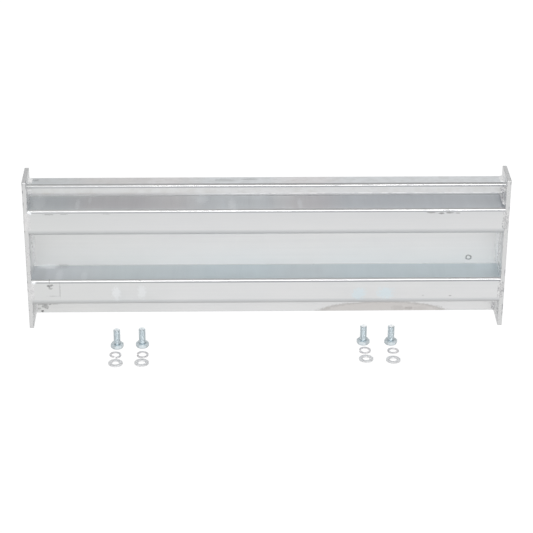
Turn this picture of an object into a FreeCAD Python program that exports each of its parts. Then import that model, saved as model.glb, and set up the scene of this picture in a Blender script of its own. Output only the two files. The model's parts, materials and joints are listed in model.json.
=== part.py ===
import FreeCAD, Part
import math
import os

# Ribbed tread plank welded between two end plates, with its loose bolt kit.
# Millimetres. X along the plank, Y from the ribbed face to the flat face, Z up.
# The plank stands on its lower long edge. Origin: middle of that edge, on the floor.

# ---- driving dimensions ----
OVERALL_LENGTH = 902.0
PLATE_HEIGHT = 304.8
PLATE_DEPTH = 67.5
PLATE_THICKNESS = 7.9
PLATE_NEAR_RADIUS = 3.0
PLATE_REAR_RADIUS = 1.0
PLATE_EDGE_BREAK = 0.6

WALL = 4.5
DECK_TOP_Z = 283.7
NOSE_DEPTH = 34.0
NOSE_DROP = 19.5
RIB_LEDGE_Z = (247.5, 102.0)
RIB_DROP = 54.2
BEND_RADIUS = 6.0
TOE_RADIUS = 13.0
TOE_RETURN = 16.0
ROOT_FILLET = 1.0
INNER_BEND = 1.5
EDGE_ROUND = 1.0

BOLT_SIZE = 12.7
BOLT_UNDERHEAD_LENGTH = 29.2
BOLT_TIP_CHAMFER = 1.2
HEX_FLATS = 21.6
HEX_HEIGHT = 8.0
HEX_CROWN_RADIUS = 10.2
HEX_CROWN_ANGLE_DEG = 30.0
BEARING_FACE_RADIUS = 10.3
BEARING_FACE_HEIGHT = 0.4
PLATE_HOLE_RADIUS = 7.15
PLATE_HOLE_PITCH = 254.0
PLATE_HOLE_INSET = 16.0

FLAT_WASHER_OUTER = 27.0
FLAT_WASHER_INNER = 13.5
FLAT_WASHER_THICKNESS = 2.4
LOCK_WASHER_OUTER = 22.1
LOCK_WASHER_INNER = 13.0
LOCK_WASHER_THICKNESS = 2.8
LOCK_WASHER_RISE = 1.2
LOCK_WASHER_GAP_DEG = 12.0

BEAD_LEG = 6.5
BEAD_BULGE = 0.6
BEAD_END_GAP = 4.0
CAP_BEAD_OVERLAP = 5.5
CAP_BEAD_HEIGHT = 1.5
CAP_BEAD_EDGE_MARGIN = 0.8

# Loose kit on the floor: centre X, and distance in front of the plates' near edges.
BOLT_SPOTS = ((-280.9, 74.6), (-233.9, 71.7), (180.6, 65.0), (232.5, 66.0))
LOCK_SPOTS = ((-282.7, 107.8), (-232.2, 107.6), (182.1, 96.5), (234.7, 98.7))
FLAT_SPOTS = ((-281.3, 137.1), (-233.2, 136.1), (182.2, 126.8), (232.2, 131.1))
BOLT_TURNS_DEG = (12.0, 2.0, -10.0, 4.0)
LOCK_GAPS_DEG = (-95.0, 172.0, 186.0, -12.0)

# ---- worked-out places ----
HALF_LENGTH = OVERALL_LENGTH / 2
INNER_X = HALF_LENGTH - PLATE_THICKNESS
REAR_Y = WALL / 2
DECK_FRONT_Y = REAR_Y - WALL
NEAR_Y = REAR_Y - PLATE_DEPTH
NOSE_Y = REAR_Y - NOSE_DEPTH
HOLE_Y = NEAR_Y + PLATE_HOLE_INSET
HOLE_ZS = (
    PLATE_HEIGHT / 2 - PLATE_HOLE_PITCH / 2,
    PLATE_HEIGHT / 2 + PLATE_HOLE_PITCH / 2,
)
SIDES = (("left", -1), ("right", 1))


def vec(x, y, z):
    return FreeCAD.Vector(x, y, z)


def rounded_wire(corners):
    """Closed wire through (point, radius) corners, each corner rounded by its radius."""
    count = len(corners)
    trims = []
    for i in range(count):
        point, radius = corners[i]
        before = (corners[i - 1][0] - point).normalize()
        after = (corners[(i + 1) % count][0] - point).normalize()
        half_angle = before.getAngle(after) / 2
        setback = radius / math.tan(half_angle)
        bisector = (before + after).normalize()
        middle = point + bisector * (radius / math.sin(half_angle) - radius)
        trims.append((point + before * setback, middle, point + after * setback))
    edges = []
    for i in range(count):
        start, middle, end = trims[i]
        if corners[i][1] > 0:
            edges.append(Part.Arc(start, middle, end).toShape())
        edges.append(Part.makeLine(end, trims[(i + 1) % count][0]))
    return Part.Wire(edges)


def prism(wire, direction):
    return Part.Face(wire).extrude(direction)


# ---- plank ----
def rib_corners(ledge_z):
    """Hooked rib: ledge from the deck, lip hanging at its front, toe curled back."""
    toe_z = ledge_z - RIB_DROP
    return [
        (DECK_FRONT_Y, ledge_z, ROOT_FILLET),
        (NEAR_Y, ledge_z, BEND_RADIUS),
        (NEAR_Y, toe_z, TOE_RADIUS),
        (NEAR_Y + TOE_RETURN, toe_z, EDGE_ROUND),
        (NEAR_Y + TOE_RETURN, toe_z + WALL, EDGE_ROUND),
        (NEAR_Y + WALL, toe_z + WALL, TOE_RADIUS - WALL),
        (NEAR_Y + WALL, ledge_z - WALL, INNER_BEND),
        (DECK_FRONT_Y, ledge_z - WALL, ROOT_FILLET),
    ]


def nose_corners():
    """Short flange along the top edge with a small lip hanging at its front."""
    lip_z = DECK_TOP_Z - NOSE_DROP
    return [
        (REAR_Y, DECK_TOP_Z, EDGE_ROUND),
        (NOSE_Y, DECK_TOP_Z, BEND_RADIUS),
        (NOSE_Y, lip_z, EDGE_ROUND),
        (NOSE_Y + WALL, lip_z, EDGE_ROUND),
        (NOSE_Y + WALL, DECK_TOP_Z - WALL, INNER_BEND),
        (DECK_FRONT_Y, DECK_TOP_Z - WALL, ROOT_FILLET),
    ]


def plank():
    outline = nose_corners()
    for ledge_z in RIB_LEDGE_Z:
        outline = outline + rib_corners(ledge_z)
    outline = outline + [(DECK_FRONT_Y, 0, EDGE_ROUND), (REAR_Y, 0, EDGE_ROUND)]
    corners = [(vec(-INNER_X, y, z), radius) for y, z, radius in outline]
    return prism(rounded_wire(corners), vec(2 * INNER_X, 0, 0))


# ---- end plates ----
def end_plate(side):
    corners = [
        (vec(0, NEAR_Y, 0), PLATE_NEAR_RADIUS),
        (vec(0, REAR_Y, 0), PLATE_REAR_RADIUS),
        (vec(0, REAR_Y, PLATE_HEIGHT), PLATE_REAR_RADIUS),
        (vec(0, NEAR_Y, PLATE_HEIGHT), PLATE_NEAR_RADIUS),
    ]
    body = prism(rounded_wire(corners), vec(PLATE_THICKNESS, 0, 0))
    outer_edges = [edge for edge in body.Edges if edge.BoundBox.XMin > PLATE_THICKNESS - 0.01]
    body = body.makeChamfer(PLATE_EDGE_BREAK, outer_edges)
    for hole_z in HOLE_ZS:
        hole = Part.makeCylinder(PLATE_HOLE_RADIUS, PLATE_THICKNESS,
                                 vec(0, HOLE_Y, hole_z), vec(1, 0, 0))
        body = body.cut(hole)
    body.translate(vec(INNER_X, 0, 0))
    if side < 0:
        body = body.mirror(vec(0, 0, 0), vec(1, 0, 0))
    return body


# ---- weld beads ----
def fillet_bead(side, face_point, face_normal, run):
    """Bead in the corner of a plate's inner face and a plank face, along run."""
    root = vec(side * INNER_X, face_point.y, face_point.z)
    toe_on_plank = root + vec(-side * BEAD_LEG, 0, 0)
    toe_on_plate = root + face_normal * BEAD_LEG
    outward = (vec(-side, 0, 0) + face_normal).normalize()
    crown = (toe_on_plank + toe_on_plate) * 0.5 + outward * BEAD_BULGE
    face_edge = Part.Arc(toe_on_plank, crown, toe_on_plate).toShape()
    legs = [Part.makeLine(toe_on_plate, root), Part.makeLine(root, toe_on_plank)]
    return prism(Part.Wire([face_edge] + legs), run)


def cap_bead(side, low_z, high_z):
    """Low bead laid over a plate's near edge and the end of a lip flush with it."""
    outer = vec(side * (HALF_LENGTH - CAP_BEAD_EDGE_MARGIN), NEAR_Y, low_z)
    inner = vec(side * (INNER_X - CAP_BEAD_OVERLAP), NEAR_Y, low_z)
    crown = (outer + inner) * 0.5 - vec(0, CAP_BEAD_HEIGHT, 0)
    section = Part.Wire([Part.Arc(outer, crown, inner).toShape(), Part.makeLine(inner, outer)])
    return prism(section, vec(0, 0, high_z - low_z))


def upright_bead(side, face_y, low_z, high_z):
    return fillet_bead(side, vec(0, face_y, low_z), vec(0, -1, 0), vec(0, 0, high_z - low_z))


def weld_beads(side):
    upper_ledge, lower_ledge = RIB_LEDGE_Z
    nose_run = REAR_Y - NOSE_Y - BEND_RADIUS - 2 * EDGE_ROUND
    beads = {}
    beads["nose_top"] = fillet_bead(side, vec(0, REAR_Y - EDGE_ROUND, DECK_TOP_Z),
                                    vec(0, 0, 1), vec(0, -nose_run, 0))
    beads["nose_lip"] = upright_bead(side, NOSE_Y, DECK_TOP_Z - NOSE_DROP + EDGE_ROUND,
                                     DECK_TOP_Z - BEND_RADIUS)
    beads["deck_upper"] = upright_bead(side, DECK_FRONT_Y, upper_ledge + BEAD_END_GAP,
                                       DECK_TOP_Z - WALL - BEAD_END_GAP)
    beads["deck_middle"] = upright_bead(side, DECK_FRONT_Y, lower_ledge + BEAD_END_GAP,
                                        upper_ledge - RIB_DROP - BEAD_END_GAP)
    beads["deck_lower"] = upright_bead(side, DECK_FRONT_Y, EDGE_ROUND,
                                       lower_ledge - RIB_DROP - BEAD_END_GAP)
    for name, ledge in (("upper_lip", upper_ledge), ("lower_lip", lower_ledge)):
        beads[name] = cap_bead(side, ledge - RIB_DROP + TOE_RADIUS, ledge - BEND_RADIUS)
    return beads


# ---- loose bolts and washers ----
def hex_bolt(turn_deg):
    """Cap screw standing on its head, thread up."""
    corner_radius = HEX_FLATS / math.sqrt(3)
    points = []
    for i in range(7):
        angle = math.radians(60 * i + turn_deg)
        points.append(vec(corner_radius * math.cos(angle), corner_radius * math.sin(angle), 0))
    hex_height = HEX_HEIGHT - BEARING_FACE_HEIGHT
    head = prism(Part.makePolygon(points), vec(0, 0, hex_height))
    crown_growth = hex_height / math.tan(math.radians(HEX_CROWN_ANGLE_DEG))
    crown = Part.makeCone(HEX_CROWN_RADIUS, HEX_CROWN_RADIUS + crown_growth, hex_height)
    head = head.common(crown)
    bearing_face = Part.makeCylinder(BEARING_FACE_RADIUS, BEARING_FACE_HEIGHT,
                                     vec(0, 0, hex_height))
    radius = BOLT_SIZE / 2
    straight = BOLT_UNDERHEAD_LENGTH - BOLT_TIP_CHAMFER
    shank = Part.makeCylinder(radius, straight, vec(0, 0, HEX_HEIGHT))
    tip = Part.makeCone(radius, radius - BOLT_TIP_CHAMFER, BOLT_TIP_CHAMFER,
                        vec(0, 0, HEX_HEIGHT + straight))
    return head.fuse([bearing_face, shank, tip]).removeSplitter()


def flat_washer():
    ring = Part.makeCylinder(FLAT_WASHER_OUTER / 2, FLAT_WASHER_THICKNESS)
    return ring.cut(Part.makeCylinder(FLAT_WASHER_INNER / 2, FLAT_WASHER_THICKNESS))


def lock_washer(gap_deg):
    """Split spring washer, one coil of square wire with its ends sprung apart."""
    turn = (360.0 - LOCK_WASHER_GAP_DEG) / 360.0
    inner = LOCK_WASHER_INNER / 2
    outer = LOCK_WASHER_OUTER / 2
    middle = (inner + outer) / 2
    spine = Part.makeHelix(LOCK_WASHER_RISE / turn, LOCK_WASHER_RISE, middle)
    corners = [vec(inner, 0, 0), vec(outer, 0, 0), vec(outer, 0, LOCK_WASHER_THICKNESS),
               vec(inner, 0, LOCK_WASHER_THICKNESS), vec(inner, 0, 0)]
    coil = Part.Wire(spine).makePipeShell([Part.makePolygon(corners)], True, True)
    coil.rotate(vec(0, 0, 0), vec(0, 0, 1), gap_deg + LOCK_WASHER_GAP_DEG / 2)
    coil.translate(vec(0, 0, -coil.BoundBox.ZMin))
    return coil


def on_floor(shape, spot):
    placed = shape.copy()
    placed.translate(vec(spot[0], NEAR_Y - spot[1], 0))
    return placed


def all_parts():
    parts = {"plank": plank()}
    for side_name, side in SIDES:
        parts[side_name + "_end_plate"] = end_plate(side)
        for bead_name, bead in weld_beads(side).items():
            parts["weld_" + bead_name + "_" + side_name] = bead
    for i in range(len(BOLT_SPOTS)):
        number = str(i + 1)
        parts["hex_bolt_" + number] = on_floor(hex_bolt(BOLT_TURNS_DEG[i]), BOLT_SPOTS[i])
        parts["lock_washer_" + number] = on_floor(lock_washer(LOCK_GAPS_DEG[i]), LOCK_SPOTS[i])
        parts["flat_washer_" + number] = on_floor(flat_washer(), FLAT_SPOTS[i])
    return parts


os.makedirs("parts", exist_ok=True)
for node, shape in all_parts().items():
    shape.exportStep("parts/" + node + ".step")
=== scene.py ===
import json
import math
import random

import bpy
import bmesh
from mathutils import Matrix, Vector, noise


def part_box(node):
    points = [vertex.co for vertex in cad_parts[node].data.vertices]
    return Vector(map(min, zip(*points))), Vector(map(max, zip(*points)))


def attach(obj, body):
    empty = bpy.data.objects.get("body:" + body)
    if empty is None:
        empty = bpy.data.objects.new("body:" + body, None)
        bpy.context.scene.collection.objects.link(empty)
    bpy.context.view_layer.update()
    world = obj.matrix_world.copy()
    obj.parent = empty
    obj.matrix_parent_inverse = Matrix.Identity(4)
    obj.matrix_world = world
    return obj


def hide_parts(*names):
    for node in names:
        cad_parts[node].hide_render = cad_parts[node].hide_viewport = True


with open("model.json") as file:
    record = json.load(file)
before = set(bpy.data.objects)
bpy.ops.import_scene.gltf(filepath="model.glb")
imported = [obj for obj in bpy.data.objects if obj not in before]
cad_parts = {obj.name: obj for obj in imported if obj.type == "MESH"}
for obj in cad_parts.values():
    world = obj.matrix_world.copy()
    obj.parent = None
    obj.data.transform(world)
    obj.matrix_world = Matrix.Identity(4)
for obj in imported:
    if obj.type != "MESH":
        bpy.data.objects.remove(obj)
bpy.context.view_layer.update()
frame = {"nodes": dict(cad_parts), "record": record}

MM = 0.001
NODES = frame["nodes"]
SIDES = (("left", -1), ("right", 1))

# ---- thread, head and washer sizes that the CAD solids leave plain ----
THREAD_PITCH = 1.954 * MM
THREAD_DEPTH = 1.05 * MM
THREAD_CREST_RADIUS = 6.33 * MM
THREAD_CHAMFER = 1.3 * MM
THREAD_SEGMENTS = 48
THREAD_RINGS_PER_PITCH = 10
HEX_FLATS = 21.6 * MM
HEX_HEIGHT = 8.0 * MM
HEX_CROWN_RADIUS = 10.1 * MM
HEX_CROWN_DEG = 30.0
HEX_TOP_MARGIN = 1.3 * MM
HEX_CORNER_POWER = 70.0
HEX_SEGMENTS = 96
HEX_SIDE_RINGS = 12
BEARING_RADIUS = 10.3 * MM
BEARING_HEIGHT = 0.4 * MM
BOLT_TURNS_DEG = (12.0, 2.0, -10.0, 4.0)
FLAT_INNER_RADIUS = 6.75 * MM
FLAT_EDGE_RADIUS = 0.5 * MM
FLAT_SEGMENTS = 96
LOCK_OUTER_RADIUS = 11.05 * MM
LOCK_WIRE_RADIAL = 3.6 * MM
LOCK_EDGE_RADIUS = 0.45 * MM
LOCK_RISE = 1.8 * MM
LOCK_GAP_DEG = 11.0
LOCK_GAPS_DEG = (-95.0, 172.0, 186.0, -12.0)
LOCK_SEGMENTS = 90

# ---- weld beads ----
RIPPLE_PITCH = 2.6 * MM
BEAD_STEP = 0.45 * MM
BEAD_ARC_POINTS = 11
BEAD_SINK = 0.3 * MM
BEAD_END_LENGTH = 3.0 * MM
FILLET_RIPPLE_BOW = 1.3 * MM
CAP_RIPPLE_BOW = 2.2 * MM
CAP_EDGE_MARGIN = 0.8 * MM
PLANK_TOE_WOBBLES_PER_M = 190
PLATE_TOE_WOBBLES_PER_M = 230
CAP_EDGE_WOBBLES_PER_M = 260
LEDGE_RUN = 54.0 * MM
CORNER_BEADS = ("nose_lip", "deck_upper", "deck_middle", "deck_lower")
CAP_BEADS = ("upper_lip", "lower_lip")
SMOOTH_BEADS = {"ripple": 0.10 * MM, "bulge": -0.25 * MM, "wobble": 0.05, "reach": 0.45}
LUMPY_BEADS = {"ripple": 0.42 * MM, "bulge": 0.55 * MM, "wobble": 0.16, "reach": 0.85}

# ---- floor, backdrop and key light, in metres, watts and degrees ----
FLOOR_REACH = 12.0
BACKDROP_RADIUS = 11.0
BACKDROP_LOW = -0.1
BACKDROP_HEIGHT = 9.0
BACKDROP_SEGMENTS = 64
SOFTBOX_WIDTH = 6.0
SOFTBOX_HEIGHT = 0.8
SOFTBOX_POWER = 60.0
SOFTBOX_ELEVATION_DEG = 42.0
SOFTBOX_DISTANCE = 3.5

# Radiance of the light tent by pitch: 0 is level in front, 90 overhead, -90 straight down,
# and 180 level behind. The panels past the object's ends have one radiance.
TENT = ((-180, 0.95), (-150, 0.70), (-120, 0.50), (-90, 0.50), (-60, 0.60), (-40, 0.85), (-27, 0.90),
        (0, 0.90), (30, 0.90), (50, 0.60), (70, 0.40), (110, 0.40), (135, 0.60), (153, 0.83), (180, 0.95))
SIDE_PANELS = (0.65, 0.65, 0.65)

# ---- camera, at the photograph's viewing angle ----
CAMERA_ELEVATION_DEG = 26.97
CAMERA_AZIMUTH_DEG = -1.454
CAMERA_ROLL_DEG = 0.346
CAMERA_DISTANCE = 3.5747
CAMERA_FOCAL_OVER_WIDTH = 3.567
CAMERA_TARGET_X = -0.0004
CAMERA_TARGET_Z = 0.12956

# ---- colours ----
GRIME = (0.16, 0.16, 0.16)
HAZE = (0.55, 0.53, 0.50)
# The next two colours are for painted light: a pale sheen, glint and reflection colour, then a bluish
# reflection colour.
PAINTED_SHINE = (0.93, 0.95, 0.97)
PAINTED_BLUE_REFLECTION = (0.66, 0.86, 0.95)
STAIN_COLOUR = (0.60, 0.565, 0.54)
STAIN_RIM_COLOUR = (0.40, 0.39, 0.38)
BOLT_LIGHT = (0.86, 0.93, 0.96)
BOLT_DARK = (0.72, 0.80, 0.84)
# Colour of the painted shade on the bolts.
BOLT_SHADE = (0.20, 0.25, 0.28)
BOLT_TIP = (0.93, 0.93, 0.93)
BOLT_TIP_START = 36.0 * MM

# ---- marks painted on the plank, in metres ----
MARK_DEPTH = 0.004
NOSE_TOP_MARK_DEPTH = 0.003
LIP_Y = -0.065
DECK_Y = -0.002
NOSE_FRONT_Y = -0.032
NOSE_TOP_Z = 0.2837
NOSE_EDGE_Z = 0.2642
UPPER_LEDGE_Z = 0.2475
LOWER_LEDGE_Z = 0.1020

# On a face that looks forward: X, Z, reach along X and Z, strength, colour.
LIP_MARKS = (
    (-0.4110, 0.0906, 0.0046, 0.0034, 0.70, GRIME),
    (-0.4047, 0.0921, 0.0040, 0.0028, 0.62, GRIME),
    (-0.4080, 0.0856, 0.0044, 0.0028, 0.38, GRIME),
    (-0.3900, 0.0800, 0.0018, 0.0200, 0.22, GRIME),
    (-0.4020, 0.0690, 0.0140, 0.0015, 0.20, GRIME),
    (0.3060, 0.2402, 0.0120, 0.0018, 0.55, GRIME),
    (0.3240, 0.2385, 0.0070, 0.0022, 0.65, GRIME),
    (0.3400, 0.2397, 0.0080, 0.0018, 0.60, GRIME),
    (0.3540, 0.2390, 0.0060, 0.0014, 0.45, GRIME),
    (0.3486, 0.0655, 0.0036, 0.0014, 0.50, GRIME),
    (0.2972, 0.0660, 0.0026, 0.0020, 0.25, GRIME),
    (-0.4050, 0.2395, 0.0130, 0.0012, 0.45, GRIME),
    (-0.3760, 0.2400, 0.0090, 0.0011, 0.35, GRIME),
    (-0.2960, 0.2402, 0.0100, 0.0010, 0.30, GRIME),
)

# The photo shows a pale patch on the lip above each bolt, which looks like the bolt's reflection.
# These rows paint it on, so it stays behind when the bolt is lifted. Same columns as above.
ABOVE_BOLT_MARKS = (
    (-0.2840, 0.0750, 0.0090, 0.0170, 0.42, PAINTED_SHINE),
    (-0.2360, 0.0770, 0.0090, 0.0170, 0.34, PAINTED_SHINE),
    (0.1750, 0.0710, 0.0170, 0.0140, 0.34, PAINTED_BLUE_REFLECTION),
    (0.2250, 0.0720, 0.0180, 0.0150, 0.34, PAINTED_BLUE_REFLECTION),
)
DECK_MARKS = (
    (-0.4318, 0.0032, 0.0030, 0.0030, 0.95, GRIME),
    (-0.4259, 0.0140, 0.0075, 0.0042, 0.45, GRIME),
    (-0.4381, 0.0090, 0.0050, 0.0026, 0.40, GRIME),
    (-0.4225, 0.0100, 0.0034, 0.0026, 0.50, GRIME),
    (-0.4283, 0.0185, 0.0170, 0.0026, 0.45, GRIME),
    (-0.4080, 0.0190, 0.0140, 0.0022, 0.30, GRIME),
    (0.2770, 0.0055, 0.0100, 0.0042, 0.55, GRIME),
    (0.2560, 0.0060, 0.0150, 0.0070, 0.26, GRIME),
    (0.3000, 0.0040, 0.0160, 0.0060, 0.20, GRIME),
)
NOSE_FRONT_MARKS = (
    (-0.1000, 0.2700, 0.0100, 0.0040, 0.25, HAZE),
    (-0.4100, 0.2670, 0.0150, 0.0026, 0.40, HAZE),
    (-0.3360, 0.2668, 0.0220, 0.0022, 0.35, HAZE),
    (-0.2580, 0.2668, 0.0160, 0.0022, 0.35, HAZE),
)

# On a face that looks up: X, Y, reach along X and Y, strength, colour.
NOSE_TOP_MARKS = (
    (-0.4300, -0.0090, 0.0080, 0.0060, 0.35, GRIME),
    (-0.0780, -0.0110, 0.0240, 0.0080, 0.24, GRIME),
    (-0.0300, -0.0080, 0.0170, 0.0060, 0.25, GRIME),
)
# The pale streaks on the upper ledge are painted sheen.
UPPER_LEDGE_MARKS = (
    (-0.1210, -0.0210, 0.0140, 0.0220, 0.45, PAINTED_SHINE),
    (-0.0640, -0.0400, 0.0090, 0.0300, 0.50, PAINTED_SHINE),
    (0.0620, -0.0380, 0.0060, 0.0240, 0.40, PAINTED_SHINE),
    (-0.4250, -0.0300, 0.0160, 0.0340, 0.30, PAINTED_SHINE),
    (-0.3520, -0.0360, 0.0050, 0.0260, 0.35, PAINTED_SHINE),
    (-0.3300, -0.0200, 0.0040, 0.0200, 0.25, PAINTED_SHINE),
)
# On the lower ledge the pale rows are painted sheen, the dark rows dirt.
LOWER_LEDGE_MARKS = (
    (-0.4150, -0.0060, 0.0240, 0.0120, 0.36, PAINTED_SHINE),
    (-0.3900, -0.0060, 0.0160, 0.0120, 0.16, GRIME),
    (-0.4260, -0.0360, 0.0120, 0.0360, 0.10, GRIME),
    (-0.3920, -0.0450, 0.0080, 0.0300, 0.16, PAINTED_SHINE),
    (-0.3450, -0.0500, 0.0070, 0.0240, 0.14, PAINTED_SHINE),
)

# Round a bend: centre, reach along X, Y and Z, strength, colour. The two white spots are painted
# glints: they stand where the bright lines along the bends end at the left. The two white spots
# are painted too: they stand where the photo's bright lines end at the left.
BEND_MARKS = (
    ((-0.4093, LIP_Y, 0.1000), (0.0014, 0.008, 0.0080), 0.40, GRIME),
    ((-0.4400, LIP_Y, 0.2422), (0.0056, 0.005, 0.0044), 1.00, PAINTED_SHINE),
    ((-0.4400, LIP_Y, 0.0962), (0.0060, 0.005, 0.0048), 1.00, PAINTED_SHINE),
)
RING_CENTRE = (0.3882, DECK_Y, 0.1150)
RING_REACH = (0.0056, MARK_DEPTH, 0.0052)
STAIN_CENTRE = (0.226, DECK_Y, -0.0050)
STAIN_REACH = (0.130, 0.010, 0.0260)


# ======================================================================
# node helpers
# ======================================================================
class Nodes:
    """A node tree with short calls for the few kinds of node used here."""

    def __init__(self, tree):
        self.tree = tree

    def add(self, kind, **settings):
        node = self.tree.nodes.new(kind)
        for key, value in settings.items():
            setattr(node, key, value)
        return node

    def link(self, output, target):
        self.tree.links.new(output, target)

    def coords(self, scale=(1, 1, 1), offset=(0, 0, 0)):
        """The object's own coordinates, scaled and then shifted."""
        texture = self.add("ShaderNodeTexCoord")
        mapping = self.add("ShaderNodeMapping")
        mapping.inputs["Scale"].default_value = scale
        mapping.inputs["Location"].default_value = offset
        self.link(texture.outputs["Object"], mapping.inputs["Vector"])
        return mapping.outputs["Vector"]

    def axes(self, kind):
        """X, Y and Z of a texture coordinate: "Object", "Normal" or "Generated"."""
        texture = self.add("ShaderNodeTexCoord")
        split = self.add("ShaderNodeSeparateXYZ")
        self.link(texture.outputs[kind], split.inputs[0])
        return split.outputs["X"], split.outputs["Y"], split.outputs["Z"]

    def distance(self, centre, reach):
        """Distance from a centre, measured by an ellipsoid's reach: 0 at the centre, 1 on its surface."""
        scale = [1 / r for r in reach]
        offset = [-c / r for c, r in zip(centre, reach)]
        length = self.add("ShaderNodeVectorMath", operation="LENGTH")
        self.link(self.coords(scale, offset), length.inputs[0])
        return length.outputs["Value"]

    def noise(self, scale, stretch=(1, 1, 1), detail=3.0, rough=0.55, offset=(0, 0, 0)):
        node = self.add("ShaderNodeTexNoise")
        node.inputs["Scale"].default_value = scale
        node.inputs["Detail"].default_value = detail
        node.inputs["Roughness"].default_value = rough
        self.link(self.coords(stretch, offset), node.inputs["Vector"])
        return node.outputs["Fac"]

    def remap(self, value, low, high, to_low=0.0, to_high=1.0):
        """A straight ramp from to_low at low to to_high at high, level past both."""
        node = self.add("ShaderNodeMapRange")
        node.clamp = True
        self.link(value, node.inputs["Value"])
        node.inputs["From Min"].default_value = low
        node.inputs["From Max"].default_value = high
        node.inputs["To Min"].default_value = to_low
        node.inputs["To Max"].default_value = to_high
        return node.outputs["Result"]

    def band(self, value, rise_low, rise_high, fall_low, fall_high):
        """1 between the rise and the fall, 0 outside them."""
        rise = self.remap(value, rise_low, rise_high)
        return self.times(rise, self.remap(value, fall_high, fall_low))

    def math(self, operation, *values):
        node = self.add("ShaderNodeMath", operation=operation)
        for socket, value in zip(node.inputs, values):
            if isinstance(value, (int, float)):
                socket.default_value = value
            else:
                self.link(value, socket)
        return node.outputs["Value"]

    def plus(self, a, b):
        return self.math("ADD", a, b)

    def times(self, a, b):
        return self.math("MULTIPLY", a, b)

    def greater(self, a, b):
        return self.math("MAXIMUM", a, b)

    def mix(self, factor, a, b):
        """Colour a where the factor is 0 and b where it is 1. Each is a socket or three numbers."""
        node = self.add("ShaderNodeMix", data_type="RGBA")
        self.link(factor, node.inputs[0])
        for socket, value in ((node.inputs[6], a), (node.inputs[7], b)):
            if isinstance(value, tuple):
                socket.default_value = value + (1.0,)
            else:
                self.link(value, socket)
        return node.outputs[2]

    def bump(self, height, strength, distance, under=None):
        node = self.add("ShaderNodeBump")
        node.inputs["Strength"].default_value = strength
        node.inputs["Distance"].default_value = distance
        self.link(height, node.inputs["Height"])
        if under is not None:
            self.link(under, node.inputs["Normal"])
        return node.outputs["Normal"]


def new_metal(name):
    material = bpy.data.materials.new(name)
    material.use_nodes = True
    nodes = Nodes(material.node_tree)
    shader = material.node_tree.nodes["Principled BSDF"]
    shader.inputs["Metallic"].default_value = 0.5
    return material, nodes, shader


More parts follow.
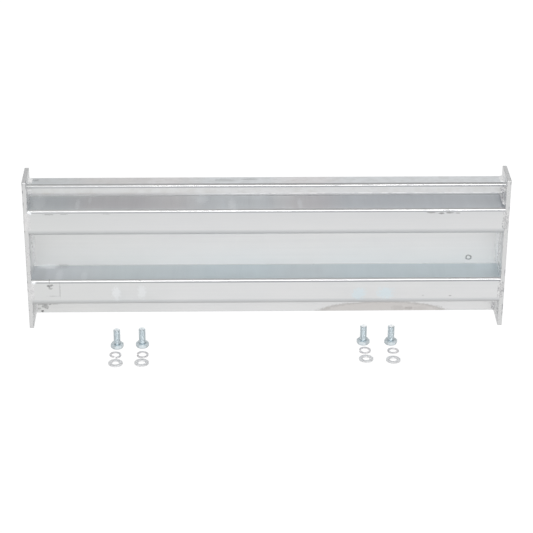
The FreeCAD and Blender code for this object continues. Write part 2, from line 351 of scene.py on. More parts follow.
# ======================================================================
# the plank's metal
# ======================================================================
class PlankSurface:
    """The plank's patterns, and masks from 0 to 1 that say where on it each effect shows.

    Ramps along X, Y and Z are in metres. Ramps of `up` and `backward` are in parts of the unit
    normal: 1 faces straight up, or straight back.
    """

    def __init__(self, n):
        self.n = n
        self.along, self.out, self.height = n.axes("Object")
        _, self.backward, self.up = n.axes("Normal")
        self.add_patterns()
        self.add_face_masks()
        self.add_ledge_masks()
        self.add_nose_masks()
        self.add_bend_masks()

    def add_patterns(self):
        n = self.n
        self.clouds = n.noise(7.0, (1, 2.2, 2.2), detail=5.0, rough=0.6)
        self.patches = n.noise(34.0, (0.45, 1, 1), detail=3.0, offset=(3, 1, 7))
        self.blotches = n.noise(85.0, (0.7, 1, 1), detail=4.0, rough=0.65, offset=(5, 2, 8))
        self.die_lines = n.noise(260.0, (0.012, 1, 1), detail=4.0, rough=0.7)
        self.cross_rub = n.noise(38.0, (1, 0.06, 0.06), detail=6.0, rough=0.75, offset=(2, 2, 5))
        self.fine_grain = n.noise(900.0, (0.05, 1, 1), detail=2.0)
        self.wave = n.noise(22.0, (0.35, 1, 1), detail=2.0, offset=(9, 4, 2))
        crumbs = n.noise(330.0, detail=4.0, rough=0.7, offset=(6, 6, 1))
        self.broken = n.remap(crumbs, 0.3, 0.7, -0.45, 0.45)

    def add_face_masks(self):
        n = self.n
        self.level = n.remap(self.up, 0.985, 1.0)
        self.back = n.remap(self.backward, 0.5, 0.9)
        self.not_back = n.remap(self.back, 1.0, 0.0)
        # Painted shade on faces that look down.
        self.under = n.band(n.times(self.up, -1.0), 0.0, 0.08, 0.30, 0.80)
        upright = n.remap(self.up, 0.6, 0.1)
        # Painted shade on the lips' fronts.
        self.lip_front_shade = n.times(n.remap(self.out, -0.050, -0.060), upright)
        # Painted shade on upright faces, darker towards the top.
        self.upper_half_shade = n.times(n.remap(self.height, 0.18, 0.24), upright)
        # Painted light on the deck's upright face just above the lower ledge.
        self.deck_foot_light = n.times(n.band(self.height, 0.102, 0.104, 0.115, 0.150), upright)

    def add_ledge_masks(self):
        n = self.n
        # The lower ledge, where painted shade is laid.
        self.lower_ledge = n.times(self.level, n.remap(self.height, 0.15, 0.13))
        upper_ledge = n.times(self.level, n.band(self.height, 0.20, 0.21, 0.255, 0.26))
        # Painted shade on the upper ledge, darker towards both ends and towards its front.
        right_end = n.remap(self.along, 0.03, 0.10, 0.0, 0.27)
        left_end = n.remap(self.along, -0.15, -0.24, 0.0, 0.36)
        self.shaded_ledge_ends = n.times(upper_ledge, n.greater(right_end, left_end))
        self.shaded_ledge_front = n.times(upper_ledge, n.remap(self.out, -0.018, -0.058, 0.0, 0.34))
        left_stretch = n.band(self.along, -0.38, -0.33, -0.17, -0.11)
        middle_stretch = n.band(self.along, 0.00, 0.05, 0.10, 0.15)
        self.purple = n.times(n.greater(left_stretch, middle_stretch), self.level)
        self.blue = n.math("SUBTRACT", self.level, self.purple)

    def add_nose_masks(self):
        n = self.n
        on_nose = n.remap(self.height, 0.26, 0.27)
        self.nose = n.times(n.remap(self.height, 0.255, 0.262), self.not_back)
        nose_top = n.times(self.level, on_nose)
        # Painted shade on the nose's top towards the left, and painted light towards the right.
        self.nose_top_left_shade = n.times(nose_top, n.remap(self.along, -0.30, -0.42, 0.0, 0.26))
        self.nose_top_right_light = n.times(nose_top, n.remap(self.along, -0.28, -0.05, 0.0, 0.50))
        # In streaks on the nose's left part the painted highlight is dimmer, with painted shade in its
        # place.
        nose_left = n.times(on_nose, n.remap(self.along, -0.20, -0.38))
        self.dim_highlight_zone = n.times(nose_left, n.remap(self.cross_rub, 0.62, 0.48, 0.60, 0.95))
        # A painted highlight line along the nose's lower edge, stronger towards the right.
        start = NOSE_EDGE_Z - 0.2 * MM
        line = n.band(self.height, start, NOSE_EDGE_Z, NOSE_EDGE_Z + 1.8 * MM, NOSE_EDGE_Z + 2.6 * MM)
        line = n.times(line, n.remap(self.blotches, 0.40, 0.52, 0.2, 1.0))
        line = n.times(line, n.remap(self.along, -0.18, 0.02, 0.0, 0.9))
        self.nose_edge_highlight = n.times(line, self.not_back)
        # Painted shade just above the nose's lower edge, towards the left.
        shade_band = n.band(self.height, start, NOSE_EDGE_Z, NOSE_EDGE_Z + 2.5 * MM, NOSE_EDGE_Z + 4.5 * MM)
        self.nose_edge_shade = n.times(shade_band, n.remap(self.along, -0.05, -0.25, 0.0, 0.36))

    def add_bend_masks(self):
        """A painted highlight line halfway round each bend, and dull rows of painted shade above and below
        it.
        """
        n = self.n
        ragged = n.plus(self.up, n.remap(self.blotches, 0.3, 0.7, -0.04, 0.04))
        bend_highlight = n.band(ragged, 0.48, 0.54, 0.83, 0.90)
        highlight_along = n.remap(self.along, -0.32, 0.05, 0.40, 1.0)
        highlight_up = n.remap(self.height, 0.10, 0.20, 0.50, 1.0)
        bend_highlight = n.times(bend_highlight, n.math("MINIMUM", highlight_along, highlight_up))
        self.bend_highlight = n.times(bend_highlight, n.remap(self.dim_highlight_zone, 0.0, 1.0, 1.0, 0.0))
        nose_share = n.remap(self.height, 0.255, 0.262, 0.0, 0.86)
        rib_share = n.remap(self.height, 0.10, 0.20, 0.62, 0.60)
        above = n.times(n.band(self.up, 0.84, 0.92, 0.985, 0.998), n.greater(nose_share, rib_share))
        below = n.band(self.up, 0.02, 0.06, 0.44, 0.52)
        dim_zone_shade = n.times(n.band(self.up, 0.3, 0.4, 0.9, 0.95), n.times(self.dim_highlight_zone, 0.42))
        self.dull = n.greater(n.greater(below, above), dim_zone_shade)


def plank_marks():
    """Every mark as its centre, its reach along X, Y and Z, its strength and its colour."""
    forward = ((LIP_Y, LIP_MARKS),
               (LIP_Y, ABOVE_BOLT_MARKS),
               (DECK_Y, DECK_MARKS),
               (NOSE_FRONT_Y, NOSE_FRONT_MARKS))
    upward = ((NOSE_TOP_Z, NOSE_TOP_MARK_DEPTH, NOSE_TOP_MARKS),
              (UPPER_LEDGE_Z, MARK_DEPTH, UPPER_LEDGE_MARKS),
              (LOWER_LEDGE_Z, MARK_DEPTH, LOWER_LEDGE_MARKS))
    marks = []
    for y, group in forward:
        for x, z, reach_x, reach_z, strength, colour in group:
            marks.append(((x, y, z), (reach_x, MARK_DEPTH, reach_z), strength, colour))
    for z, depth, group in upward:
        for x, y, reach_x, reach_y, strength, colour in group:
            marks.append(((x, y, z), (reach_x, reach_y, depth), strength, colour))
    return marks + list(BEND_MARKS)


def marked(n, tint, broken):
    """The tint with the plank's smudges, pale patches of painted sheen, glints and reflections, ring and
    water stain painted over it.
    """
    for centre, reach, strength, colour in plank_marks():
        distance = n.plus(n.distance(centre, reach), broken)
        tint = n.mix(n.remap(distance, 1.0, 0.55, 0.0, strength), tint, colour)
    distance = n.plus(n.distance(RING_CENTRE, RING_REACH), n.times(broken, 0.5))
    tint = n.mix(n.times(n.band(distance, 0.5, 0.7, 0.95, 1.15), 0.75), tint, GRIME)
    distance = n.plus(n.distance(STAIN_CENTRE, STAIN_REACH), n.times(broken, 0.16))
    tint = n.mix(n.remap(distance, 1.0, 0.93, 0.0, 0.62), tint, STAIN_COLOUR)
    return n.mix(n.times(n.band(distance, 0.84, 0.92, 0.96, 1.04), 0.38), tint, STAIN_RIM_COLOUR)


def plank_tint(n, s):
    """Bare metal, with wear and with painted light and painted shade over it in turn.

    The marks come last, and show everywhere but at the back.
    """
    tint = n.mix(n.remap(s.clouds, 0.3, 0.7), (0.78, 0.785, 0.79), (0.81, 0.81, 0.805))
    # Painted shade for the lower ledge: darker and bluish.
    lower_ledge_shade = n.mix(n.remap(s.along, -0.28, -0.40), (0.41, 0.50, 0.54), (0.42, 0.45, 0.51))
    layers = (
        (n.remap(s.patches, 0.35, 0.7), 0.60, (0.82, 0.82, 0.82)),
        (n.remap(s.die_lines, 0.35, 0.75), 0.12, (0.60, 0.61, 0.625)),
        (n.times(s.level, n.remap(s.cross_rub, 0.5, 0.75)), 0.30, (0.95, 0.97, 1.0)),
        (n.times(s.level, n.remap(s.cross_rub, 0.5, 0.25)), 0.30, (0.50, 0.50, 0.53)),
        # Painted shade: the upper ledge darker towards its ends and front, the nose's top towards the left.
        (n.greater(s.shaded_ledge_ends, s.nose_top_left_shade), 1.0, (0.50, 0.50, 0.55)),
        (s.shaded_ledge_front, 1.0, (0.50, 0.51, 0.53)),
        # Painted light: the nose's top lighter towards the right.
        (s.nose_top_right_light, 1.0, (0.95, 0.95, 0.96)),
        (n.times(s.nose, n.remap(s.blotches, 0.45, 0.7)), 0.40, (0.60, 0.58, 0.54)),
        (s.blue, 0.16, (0.62, 0.76, 0.86)),
        (s.purple, 0.16, (0.76, 0.69, 0.72)),
        (n.times(s.back, n.remap(s.die_lines, 0.40, 0.65)), 0.20, (0.58, 0.59, 0.61)),
        # Painted shade in the dull rows beside the bends, then the painted highlight on the bends.
        (s.dull, 0.90, (0.30, 0.31, 0.33)),
        (s.bend_highlight, 0.48, (0.99, 0.99, 0.99)),
        # Painted shade on the lips' fronts.
        (s.lip_front_shade, 0.17, (0.56, 0.57, 0.59)),
        # Painted shade on faces that look down.
        (s.under, 0.14, (0.42, 0.49, 0.54)),
        # Painted light at the deck's foot.
        (s.deck_foot_light, 0.35, (0.93, 0.93, 0.92)),
        # Painted shade towards the top.
        (s.upper_half_shade, 0.28, (0.56, 0.57, 0.59)),
        # Painted shade on the lower ledge.
        (s.lower_ledge, 0.63, lower_ledge_shade),
        (n.remap(s.along, -0.15, -0.42), 0.22, (0.62, 0.64, 0.61)),
        # Painted shade just above the nose's lower edge, towards the left.
        (s.nose_edge_shade, 1.0, (0.42, 0.42, 0.44)),
        # Painted highlight along the nose's lower edge.
        (s.nose_edge_highlight, 1.0, (1.0, 1.0, 1.0)),
    )
    for mask, strength, colour in layers:
        tint = n.mix(n.times(mask, strength), tint, colour)
    return n.mix(s.back, marked(n, tint, s.broken), tint)


def plank_aluminium():
    """Extruded aluminium: glossier and with a painted highlight where the bends stand out, painted shade
    beside them and underneath.
    """
    material, n, shader = new_metal("mill_finish_extrusion")
    s = PlankSurface(n)
    n.link(plank_tint(n, s), shader.inputs["Base Color"])
    rough = n.plus(n.remap(s.patches, 0.3, 0.7, 0.36, 0.44), n.remap(s.die_lines, 0.3, 0.7, -0.03, 0.04))
    # Along the painted highlight the metal is also glossier and fully metallic.
    n.link(n.times(rough, n.remap(s.bend_highlight, 0.0, 1.0, 1.0, 0.45)), shader.inputs["Roughness"])
    n.link(n.remap(s.bend_highlight, 0.0, 1.0, 0.5, 1.0), shader.inputs["Metallic"])
    shader.inputs["Anisotropic"].default_value = 0.5
    tangent = n.add("ShaderNodeTangent", direction_type="RADIAL", axis="X")
    n.link(tangent.outputs["Tangent"], shader.inputs["Tangent"])
    normal = n.bump(s.wave, 0.10, 0.004)
    normal = n.bump(s.die_lines, 0.06, 0.0006, normal)
    normal = n.bump(s.fine_grain, 0.06, 0.0002, normal)
    n.link(normal, shader.inputs["Normal"])
    return material


# ======================================================================
# the other materials
# ======================================================================
def nicked_corners(n, sideways):
    """Mask of broken dark nicks along the plates' front edges, from 0 to 0.75."""
    inner_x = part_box("right_end_plate")[0].x
    outer_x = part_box("right_end_plate")[1].x
    across = n.math("ABSOLUTE", n.axes("Object")[0])
    outer = n.remap(across, outer_x - 2.6 * MM, outer_x - 1.0 * MM)
    inner = n.remap(across, inner_x + 1.3 * MM, inner_x + 0.3 * MM)
    corner = n.times(n.greater(outer, inner), n.remap(sideways, 1.0, 0.0))
    nicks = n.remap(n.noise(75.0, detail=3.0, rough=0.6, offset=(3, 5, 9)), 0.55, 0.62, 0.0, 0.75)
    return n.times(corner, nicks)


def plate_aluminium():
    """Plate: smoother than the plank, with darker cut edges, and darker along the front of its faces."""
    material, n, shader = new_metal("mill_finish_plate")
    clouds = n.noise(14.0, detail=5.0, rough=0.6)
    grain = n.noise(420.0, (1, 1, 0.03), detail=3.0, rough=0.7)
    pits = n.noise(420.0, detail=3.0, rough=0.7, offset=(2, 6, 1))
    facing_x, _, facing_z = n.axes("Normal")
    along, out, _ = n.axes("Object")
    sideways = n.remap(n.math("ABSOLUTE", facing_x), 0.8, 0.95)
    front = n.times(sideways, n.remap(out, -0.030, -0.045))
    upward = n.times(n.remap(facing_z, 0.5, 0.9), n.remap(along, -0.4, 0.4, 1.0, 0.6))
    edge_tint = n.mix(n.remap(clouds, 0.3, 0.7), (0.66, 0.665, 0.67), (0.72, 0.72, 0.715))
    face_tint = n.mix(n.remap(clouds, 0.3, 0.7), (0.84, 0.845, 0.85), (0.90, 0.90, 0.895))
    tint = n.mix(sideways, edge_tint, face_tint)
    tint = n.mix(n.remap(pits, 0.58, 0.78, 0.0, 0.20), tint, (0.42, 0.42, 0.43))
    tint = n.mix(n.times(front, 0.35), tint, (0.45, 0.46, 0.48))
    tint = n.mix(n.times(upward, n.remap(pits, 0.40, 0.60, 0.1, 0.6)), tint, (0.36, 0.36, 0.37))
    tint = n.mix(nicked_corners(n, sideways), tint, (0.26, 0.26, 0.27))
    n.link(tint, shader.inputs["Base Color"])
    n.link(n.remap(clouds, 0.3, 0.7, 0.22, 0.34), shader.inputs["Roughness"])
    normal = n.bump(grain, 0.15, 0.0005)
    normal = n.bump(pits, 0.06, 0.0004, normal)
    n.link(normal, shader.inputs["Normal"])
    return material


def weld_metal(name, light, dark, stain_scale=120.0):
    """Weld metal that goes from light to dark in spots. A larger scale gives finer soot."""
    material, n, shader = new_metal(name)
    spatter = n.noise(700.0, detail=4.0, rough=0.65)
    stain = n.noise(stain_scale, detail=2.0, offset=(4, 4, 4))
    n.link(n.mix(n.remap(stain, 0.38, 0.65), light, dark), shader.inputs["Base Color"])
    n.link(n.remap(spatter, 0.3, 0.7, 0.24, 0.40), shader.inputs["Roughness"])
    n.link(n.bump(spatter, 0.15, 0.0004), shader.inputs["Normal"])
    return material


def zinc(name, light, dark, rough_low, rough_high, grain_scale):
    """Zinc plating, cloudy and finely grained. Gives what a caller needs to build on it."""
    material, n, shader = new_metal(name)
    clouds = n.noise(grain_scale, detail=4.0)
    grain = n.noise(grain_scale * 8, detail=3.0, offset=(1, 2, 3))
    tint = n.mix(n.remap(clouds, 0.35, 0.65), dark, light)
    n.link(tint, shader.inputs["Base Color"])
    n.link(n.remap(grain, 0.3, 0.7, rough_low, rough_high), shader.inputs["Roughness"])
    n.link(n.bump(grain, 0.06, 0.00015), shader.inputs["Normal"])
    return material, n, shader, tint


def bolt_zinc(name, tip_brightness):
    """Blue-white zinc, with painted shade in the thread's roots, round the shank's foot and at the floor."""
    material, n, shader, tint = zinc(name, BOLT_LIGHT, BOLT_DARK, 0.16, 0.26, 300.0)
    height = n.axes("Object")[2]
    up = n.axes("Normal")[2]
    radius = n.distance((0, 0, 0), (1, 1, 1000))
    roots = n.remap(radius, 5.3 * MM, 6.2 * MM, 0.20, 0.0)
    near_shank = n.remap(radius, 8.0 * MM, 6.6 * MM, 0.0, 0.38)
    head_top = n.band(height, HEX_HEIGHT - 0.9 * MM, HEX_HEIGHT - 0.2 * MM,
                      HEX_HEIGHT + 0.4 * MM, HEX_HEIGHT + 2 * MM)
    at_floor = n.remap(height, 3.0 * MM, 0.8 * MM, 0.0, 0.45)
    # Painted shade: in the thread's roots, in a ring round the shank's foot on the head, and near the floor.
    bolt_shade = n.greater(n.greater(roots, n.times(near_shank, head_top)), at_floor)
    tip = n.remap(height, BOLT_TIP_START, BOLT_TIP_START + 0.4 * MM, 0.0, tip_brightness)
    tip = n.times(tip, n.remap(up, 0.75, 0.9))
    n.link(n.mix(tip, n.mix(bolt_shade, tint, BOLT_SHADE), BOLT_TIP), shader.inputs["Base Color"])
    shader.inputs["Metallic"].default_value = 0.8
    return material


def studio_white():
    """Matt white that shines a little by itself, so that the ground is white all over."""
    material = bpy.data.materials.new("studio_floor")
    material.use_nodes = True
    shader = material.node_tree.nodes["Principled BSDF"]
    shader.inputs["Base Color"].default_value = (0.08, 0.08, 0.08, 1)
    shader.inputs["Roughness"].default_value = 1.0
    shader.inputs["Specular IOR Level"].default_value = 0.0
    shader.inputs["Emission Color"].default_value = (1, 1, 1, 1)
    shader.inputs["Emission Strength"].default_value = 0.98
    return material


# ======================================================================
# mesh helpers
# ======================================================================
def sharpen(mesh, angle_deg=32.0):
    """Smooth faces, with edges sharper than the angle kept crisp."""
    work = bmesh.new()
    work.from_mesh(mesh)
    bmesh.ops.recalc_face_normals(work, faces=work.faces)
    limit = math.radians(angle_deg)
    for face in work.faces:
        face.smooth = True
    for edge in work.edges:
        edge.smooth = len(edge.link_faces) == 2 and edge.calc_face_angle(0.0) < limit
    work.to_mesh(mesh)
    work.free()


def ring_mesh(name, rings, closed=False):
    """A skin through rings of equal point count. Capped at both ends, or joined end to end."""
    count = len(rings[0])
    points = [p for ring in rings for p in ring]
    faces = []
    spans = len(rings) if closed else len(rings) - 1
    for i in range(spans):
        here = i * count
        there = ((i + 1) % len(rings)) * count
        for j in range(count):
            k = (j + 1) % count
            faces.append((here + j, here + k, there + k, there + j))
    if not closed:
        last = (len(rings) - 1) * count
        faces.append(tuple(reversed(range(count))))
        faces.append(tuple(last + j for j in range(count)))
    mesh = bpy.data.meshes.new(name)
    mesh.from_pydata([tuple(p) for p in points], [], faces)
    sharpen(mesh)
    return mesh


def joined(name, meshes):
    """One mesh from several closed shells."""
    work = bmesh.new()
    for mesh in meshes:
        work.from_mesh(mesh)
    result = bpy.data.meshes.new(name)
    work.to_mesh(result)
    work.free()
    for mesh in meshes:
        bpy.data.meshes.remove(mesh)
    return result


def circle_ring(radius, z, count):
    ring = []
    for i in range(count):
        angle = 2 * math.pi * i / count
        ring.append(Vector((radius * math.cos(angle), radius * math.sin(angle), z)))
    return ring


def piece(name, mesh, material, node, centre=(0, 0, 0)):
    """A piece that stands in for a CAD node and rides on that node's body."""
    obj = bpy.data.objects.new(name, mesh)
    bpy.context.scene.collection.objects.link(obj)
    obj.location = centre
    mesh.materials.append(material)
    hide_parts(node)
    body = next(b for b, members in frame["record"]["behaviour"]["bodies"].items() if node in members)
    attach(obj, body)
    return obj


# ======================================================================
# weld beads
# ======================================================================
def ripple(distance, offset):
    """A stack-of-dimes ripple from 0 to 1: a quick rise and a slow fall in each pitch."""
    phase = (distance + offset) / RIPPLE_PITCH % 1.0
    return math.sin(math.pi * phase ** 0.7)


def end_fade(distance, length):
    """Rounded start and stop of a bead."""
    nearest = min(distance, length - distance)
    return math.sqrt(max(0.10, min(1.0, nearest / BEAD_END_LENGTH)))


def random_shift(seed):
    """Where in the noise a bead takes its wobble from."""
    rng = random.Random(seed)
    return Vector((rng.uniform(0, 50), rng.uniform(0, 50), 0))


def fillet_bead_mesh(name, root, along_plank, off_face, run, legs, style, seed):
    """Bead in a corner, from its toe on the plank to its toe on the plate. Legs: (plank, plate)."""
    shift = random_shift(seed)
    length = run.length
    steps = max(6, int(length / BEAD_STEP))
    outward = (along_plank + off_face).normalized()
    rings = []
    for i in range(steps + 1):
        travel = length * i / steps
        centre = root + run * (i / steps)
        at_plank = shift + Vector((0, 0, travel * PLANK_TOE_WOBBLES_PER_M))
        at_plate = shift + Vector((9, 0, travel * PLATE_TOE_WOBBLES_PER_M))
        wobble = 1.0 + style["wobble"] * noise.noise(at_plank)
        wobble_plate = 1.0 + style["wobble"] * noise.noise(at_plate)
        fade = end_fade(travel, length)
        toe_plank = along_plank * (legs[0] * wobble * fade)
        toe_plate = off_face * (legs[1] * wobble_plate * fade)
        ring = [centre - outward * BEAD_SINK]
        for j in range(BEAD_ARC_POINTS):
            share = j / (BEAD_ARC_POINTS - 1)
            bow = math.sin(math.pi * share)
            wave = style["ripple"] * ripple(travel, FILLET_RIPPLE_BOW * bow + shift.x)
            lift = bow * (style["bulge"] * fade + wave)
            ring.append(centre + toe_plank * (1 - share) + toe_plate * share + outward * lift)
        rings.append(ring)
    return ring_mesh(name, rings)


def cap_bead_mesh(name, low, high, style, seed):
    """Low bead over a flush seam: lies on the plane y = high.y and stands out towards -Y."""
    shift = random_shift(seed)
    width = high.x - low.x
    middle = low.x + width / 2
    depth = high.y - low.y
    length = high.z - low.z
    steps = int(length / BEAD_STEP)
    back = high.y + BEAD_SINK
    rings = []
    for i in range(steps + 1):
        travel = length * i / steps
        fade = end_fade(travel, length)
        at_edge = shift + Vector((7, 0, travel * CAP_EDGE_WOBBLES_PER_M))
        edge_in = 8 * style["ripple"] * noise.noise(at_edge)
        half = (width / 2 - CAP_EDGE_MARGIN + 0.3 * edge_in) * (0.55 + 0.45 * fade)
        top = (0.35 * depth + 0.8 * style["bulge"]) * fade
        ring = [Vector((middle + half, back, low.z + travel)), Vector((middle - half, back, low.z + travel))]
        for j in range(BEAD_ARC_POINTS):
            across = 2.0 * j / (BEAD_ARC_POINTS - 1) - 1.0
            dome = 0.5 + 0.5 * math.cos(math.pi * across)
            wave = style["ripple"] * ripple(travel, CAP_RIPPLE_BOW * dome + shift.x)
            lift = dome * (top + wave)
            ring.append(Vector((middle + across * half, high.y - lift, low.z + travel)))
        rings.append(ring)
    return ring_mesh(name, rings)


def corner_bead_mesh(node, kind, inner_x, side, style, seed):
    """Upright bead between the plank and a plate. The right upper one turns and follows the ledge."""
    inward = Vector((-side, 0, 0))
    low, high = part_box(node)
    leg = high.y - low.y
    root = Vector((inner_x, high.y, low.z))
    rise = Vector((0, 0, high.z - low.z))
    legs = (leg * style["reach"] if kind.startswith("deck") else leg, leg)
    mesh = fillet_bead_mesh(node + "_bead", root, inward, Vector((0, -1, 0)), rise, legs, style, seed)
    if side > 0 and kind == "deck_upper":
        run = Vector((0, -LEDGE_RUN, 0))
        legs = (0.7 * leg, 0.6 * leg)
        turn = fillet_bead_mesh("turn", root, inward, Vector((0, 0, 1)), run, legs, style, seed + 20)
        mesh = joined(node + "_bead", [mesh, turn])
    return mesh


def nose_top_bead_mesh(node, inner_x, side, style, seed):
    """Bead on top of the nose, from the back to the front."""
    low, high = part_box(node)
    leg = high.z - low.z
    root = Vector((inner_x, high.y, low.z))
    run = Vector((0, low.y - high.y, 0))
    inward = Vector((-side, 0, 0))
    legs = (leg, 0.6 * leg)
    return fillet_bead_mesh(node + "_bead", root, inward, Vector((0, 0, 1)), run, legs, style, seed)


def add_weld_beads():
    """Seven beads at each end: smooth ones at the left plate, lumpy and mostly sooty ones at the right."""
    # Lit and shaded copies of the weld metal: the corner beads' metal is painted lighter, the caps' darker.
    # The dark spots of the sooty ones are soot.
    lit_corner_metal = weld_metal("weld_metal_corner", (0.97, 0.97, 0.97), (0.86, 0.865, 0.87))
    shaded_cap_metal = weld_metal("weld_metal_cap", (0.78, 0.775, 0.775), (0.68, 0.68, 0.685))
    lit_sooty_metal = weld_metal("weld_metal_sooty", (0.97, 0.97, 0.97), (0.38, 0.38, 0.40), 420.0)
    shaded_sooty_cap = weld_metal("weld_metal_sooty_cap", (0.80, 0.80, 0.80), (0.42, 0.42, 0.43), 420.0)
    for index, (side_name, side) in enumerate(SIDES):
        seed = 10 * index
        style = SMOOTH_BEADS if side < 0 else LUMPY_BEADS
        plate_low, plate_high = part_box(side_name + "_end_plate")
        inner_x = plate_high.x if side < 0 else plate_low.x
        for count, kind in enumerate(CORNER_BEADS):
            node = "weld_%s_%s" % (kind, side_name)
            mesh = corner_bead_mesh(node, kind, inner_x, side, style, seed + count)
            metal = lit_sooty_metal if side > 0 and kind != "deck_middle" else lit_corner_metal
            piece(node + "_bead", mesh, metal, node)
        node = "weld_nose_top_" + side_name
        mesh = nose_top_bead_mesh(node, inner_x, side, style, seed + 5)
        piece(node + "_bead", mesh, lit_corner_metal, node)
        for count, kind in enumerate(CAP_BEADS):
            node = "weld_%s_%s" % (kind, side_name)
            low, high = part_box(node)
            mesh = cap_bead_mesh(node + "_bead", low, high, style, seed + 6 + count)
            piece(node + "_bead", mesh, shaded_sooty_cap if side > 0 else shaded_cap_metal, node)


# ======================================================================
# bolts
# ======================================================================
def hex_reach(angle, turn):
    """Distance from the axis to a hexagon's side, with slightly rounded corners."""
    total = 0.0
    for i in range(6):
        facing = math.cos(angle - turn - math.radians(30 + 60 * i))
        if facing > 0:
            total += facing ** HEX_CORNER_POWER
    return HEX_FLATS / 2 / total ** (1 / HEX_CORNER_POWER)


def hex_head_rings(turn):
    """Rings of the head from the crown on the floor up to the bearing face."""
    hex_height = HEX_HEIGHT - BEARING_HEIGHT
    rings = [circle_ring(HEX_CROWN_RADIUS * 0.55, 0.0, HEX_SEGMENTS),
             circle_ring(HEX_CROWN_RADIUS - 0.25 * MM, 0.0, HEX_SEGMENTS)]
    slope = 1.0 / math.tan(math.radians(HEX_CROWN_DEG))
    for i in range(HEX_SIDE_RINGS + 1):
        z = hex_height * (i / HEX_SIDE_RINGS) ** 1.6
        from_crown = HEX_CROWN_RADIUS + z * slope
        from_top = HEX_FLATS / 2 + HEX_TOP_MARGIN + (hex_height - z) * slope * 0.9
        ring = []
        for j in range(HEX_SEGMENTS):
            angle = 2 * math.pi * j / HEX_SEGMENTS
            reach = min(hex_reach(angle, turn), from_crown, from_top)
            ring.append(Vector((reach * math.cos(angle), reach * math.sin(angle), max(z, 0.02 * MM))))
        rings.append(ring)
    rings.append(circle_ring(BEARING_RADIUS, hex_height + 0.02 * MM, HEX_SEGMENTS))
    rings.append(circle_ring(BEARING_RADIUS - 0.1 * MM, HEX_HEIGHT, HEX_SEGMENTS))
    rings.append(circle_ring(BEARING_RADIUS * 0.5, HEX_HEIGHT, HEX_SEGMENTS))
    return rings


def thread_profile(phase):
    """0 at the root and 1 at the crest of a V thread with small flats."""
    rise = abs((phase % 1.0) - 0.5) * 2
    return min(1.0, max(0.0, (rise - 0.12) / 0.72))


def thread_rings(radius, low, high):
    """Helical thread as rings whose radius follows height and angle."""
    rings = []
    steps = int((high - low) / THREAD_PITCH * THREAD_RINGS_PER_PITCH)
    neck = 1.2 * THREAD_PITCH
    for i in range(steps + 1):
        z = low + (high - low) * i / steps
        crest_cap = radius - max(0.0, THREAD_CHAMFER - (high - z))
        runout = min(1.0, max(0.0, (z - low) / neck))
        ring = []
        for j in range(THREAD_SEGMENTS):
            angle = 2 * math.pi * j / THREAD_SEGMENTS
            crest = thread_profile(z / THREAD_PITCH - j / THREAD_SEGMENTS)
            reach = min(radius - THREAD_DEPTH * (1.0 - crest * runout), crest_cap)
            ring.append(Vector((reach * math.cos(angle), reach * math.sin(angle), z)))
        rings.append(ring)
    tip = radius - THREAD_CHAMFER
    rings.append(circle_ring(tip - 0.5 * MM, high, THREAD_SEGMENTS))
    rings.append(circle_ring(tip * 0.4, high - 0.05 * MM, THREAD_SEGMENTS))
    return rings


def add_bolts(left_material, right_material):
    for i, turn_deg in enumerate(BOLT_TURNS_DEG):
        node = "hex_bolt_%d" % (i + 1)
        low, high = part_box(node)
        centre = (low + high) / 2
        height = high.z - low.z
        head = ring_mesh("head", hex_head_rings(math.radians(turn_deg)))
        shank = ring_mesh("shank", thread_rings(THREAD_CREST_RADIUS, HEX_HEIGHT - 0.2 * MM, height))
        mesh = joined(node + "_threaded", [head, shank])
        material = left_material if centre.x < 0 else right_material
        piece(node + "_threaded", mesh, material, node, (centre.x, centre.y, low.z))


# ======================================================================
# washers
# ======================================================================
def rounded_box_ring(width, height, radius, steps=3):
    """Outline of a rounded rectangle about (0, 0), as (u, v) points."""
    points = []
    corners = ((1, -1, -90), (1, 1, 0), (-1, 1, 90), (-1, -1, 180))
    for sx, sy, start in corners:
        for i in range(steps + 1):
            angle = math.radians(start + 90 * i / steps)
            u = sx * (width / 2 - radius) + radius * math.cos(angle)
            v = sy * (height / 2 - radius) + radius * math.sin(angle)
            points.append((u, v))
    return points


def lathe_section(section, middle, angle, lift=0.0):
    """A washer's section, stood up at an angle round the axis and lifted."""
    ring = []
    for u, v in section:
        reach = middle + u
        ring.append(Vector((reach * math.cos(angle), reach * math.sin(angle), v + lift)))
    return ring


def add_flat_washers(material):
    for i in range(4):
        node = "flat_washer_%d" % (i + 1)
        low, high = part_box(node)
        centre = (low + high) / 2
        outer = (high.x - low.x) / 2
        section = rounded_box_ring(outer - FLAT_INNER_RADIUS, high.z - low.z, FLAT_EDGE_RADIUS)
        rings = []
        for j in range(FLAT_SEGMENTS):
            angle = 2 * math.pi * j / FLAT_SEGMENTS
            rings.append(lathe_section(section, (outer + FLAT_INNER_RADIUS) / 2, angle))
        mesh = ring_mesh(node + "_stamped", rings, closed=True)
        piece(node + "_stamped", mesh, material, node, centre)


def add_lock_washers(material):
    for i, gap_deg in enumerate(LOCK_GAPS_DEG):
        node = "lock_washer_%d" % (i + 1)
        low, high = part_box(node)
        centre = Vector(((low.x + high.x) / 2, (low.y + high.y) / 2, low.z))
        thickness = high.z - low.z - LOCK_RISE
        section = rounded_box_ring(LOCK_WIRE_RADIAL, thickness, LOCK_EDGE_RADIUS)
        middle = LOCK_OUTER_RADIUS - LOCK_WIRE_RADIAL / 2
        sweep = math.radians(360 - LOCK_GAP_DEG)
        start = math.radians(gap_deg + LOCK_GAP_DEG / 2)
        rings = []
        for j in range(LOCK_SEGMENTS + 1):
            share = j / LOCK_SEGMENTS
            lift = thickness / 2 + LOCK_RISE * share
            rings.append(lathe_section(section, middle, start + sweep * share, lift))
        mesh = ring_mesh(node + "_split", rings)
        piece(node + "_split", mesh, material, node, centre)


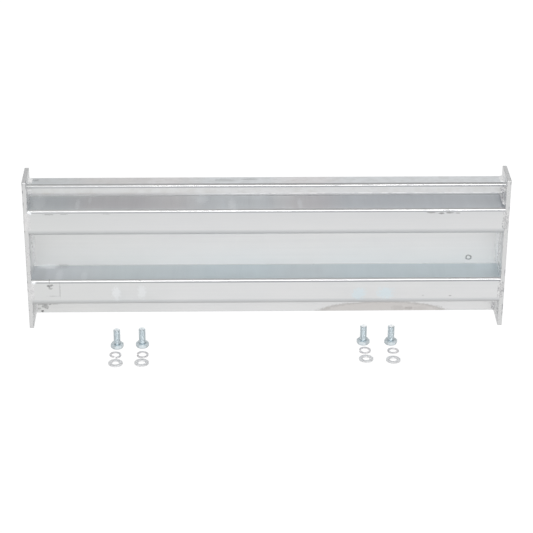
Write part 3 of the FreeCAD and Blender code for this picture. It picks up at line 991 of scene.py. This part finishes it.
# ======================================================================
# stage: floor, backdrop, light, camera
# ======================================================================
def stage_object(name, points, faces):
    """White stage piece that doesn't show in the metal or light it."""
    mesh = bpy.data.meshes.new(name)
    mesh.from_pydata(points, [], faces)
    mesh.materials.append(studio_white())
    obj = bpy.data.objects.new(name, mesh)
    bpy.context.scene.collection.objects.link(obj)
    obj.visible_glossy = False
    obj.visible_diffuse = False
    return obj


def add_floor():
    size = FLOOR_REACH
    points = [(-size, -size, 0), (size, -size, 0), (size, size, 0), (-size, size, 0)]
    floor = stage_object("floor", points, [(0, 1, 2, 3)])


def add_backdrop():
    """White wall far round the stage. It stops no light."""
    count = BACKDROP_SEGMENTS
    heights = (BACKDROP_LOW, BACKDROP_HEIGHT)
    points = [tuple(p) for z in heights for p in circle_ring(BACKDROP_RADIUS, z, count)]
    faces = [(i, (i + 1) % count, count + (i + 1) % count, count + i) for i in range(count)]
    wall = stage_object("backdrop", points, faces)
    wall.visible_shadow = False


def add_softbox():
    """Wide soft key light from the front, about as high as the bends look up. It casts no shadow."""
    data = bpy.data.lights.new("softbox", "AREA")
    data.shape = "RECTANGLE"
    data.size = SOFTBOX_WIDTH
    data.size_y = SOFTBOX_HEIGHT
    data.energy = SOFTBOX_POWER
    data.use_shadow = False
    lamp = bpy.data.objects.new("softbox", data)
    bpy.context.scene.collection.objects.link(lamp)
    pitch = math.radians(SOFTBOX_ELEVATION_DEG)
    place = Vector((0, -math.cos(pitch), math.sin(pitch))) * SOFTBOX_DISTANCE
    lamp.location = place
    lamp.rotation_euler = (-place).to_track_quat("-Z", "Y").to_euler()


def add_world():
    """Light tent: bright level with the object, dimmer at its ends, overhead and underneath."""
    world = bpy.data.worlds.new("studio")
    bpy.context.scene.world = world
    world.use_nodes = True
    n = Nodes(world.node_tree)
    background = world.node_tree.nodes["Background"]
    sky_x, sky_y, sky_z = n.axes("Generated")
    pitch = n.math("ARCTAN2", sky_z, n.times(sky_y, -1.0))
    ramp = n.add("ShaderNodeValToRGB")
    n.link(n.remap(pitch, -math.pi, math.pi), ramp.inputs["Fac"])
    elements = ramp.color_ramp.elements
    while len(elements) < len(TENT):
        elements.new(0.5)
    for element, (degrees, value) in zip(elements, TENT):
        element.position = (degrees + 180.0) / 360.0
        element.color = (value, value, value, 1)
    sideways = n.remap(n.math("ABSOLUTE", sky_x), 0.60, 0.92)
    n.link(n.mix(sideways, ramp.outputs["Color"], SIDE_PANELS), background.inputs["Color"])
    background.inputs["Strength"].default_value = 1.0


def add_camera():
    low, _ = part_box("left_end_plate")
    target = Vector((CAMERA_TARGET_X, low.y, CAMERA_TARGET_Z))
    elevation = math.radians(CAMERA_ELEVATION_DEG)
    azimuth = math.radians(CAMERA_AZIMUTH_DEG)
    back = Vector((math.sin(azimuth) * math.cos(elevation),
                   -math.cos(azimuth) * math.cos(elevation), math.sin(elevation)))
    right = (-back).cross(Vector((0, 0, 1))).normalized()
    up = back.cross(right)
    axes = Matrix((right, up, back)).transposed().to_4x4()
    data = bpy.data.cameras.new("camera")
    data.sensor_width = 36.0
    data.lens = CAMERA_FOCAL_OVER_WIDTH * data.sensor_width
    data.clip_end = 100.0
    camera = bpy.data.objects.new("camera", data)
    bpy.context.scene.collection.objects.link(camera)
    camera.matrix_world = (Matrix.Translation(target + back * CAMERA_DISTANCE) @ axes
                           @ Matrix.Rotation(math.radians(CAMERA_ROLL_DEG), 4, "Z"))
    bpy.context.scene.camera = camera


# ======================================================================
# the whole scene
# ======================================================================
def paint(node, material):
    """Give a CAD node that keeps its own mesh a material."""
    obj = NODES[node]
    if not obj.data.materials:
        obj.data.materials.append(material)
    for index in range(len(obj.data.materials)):
        obj.data.materials[index] = material


def main():
    bpy.context.scene.view_settings.view_transform = "Standard"
    add_world()
    add_softbox()
    add_floor()
    add_backdrop()
    add_camera()

    paint("plank", plank_aluminium())
    plate = plate_aluminium()
    for side_name, _ in SIDES:
        paint(side_name + "_end_plate", plate)
    add_weld_beads()
    add_bolts(bolt_zinc("bolt_zinc_dull_tip", 0.2), bolt_zinc("bolt_zinc_bright_tip", 1.0))
    add_lock_washers(zinc("lock_washer_zinc", (0.80, 0.79, 0.80), (0.66, 0.65, 0.67), 0.26, 0.38, 260.0)[0])
    add_flat_washers(zinc("flat_washer_zinc", (0.86, 0.87, 0.88), (0.78, 0.78, 0.795), 0.34, 0.48, 180.0)[0])


main()
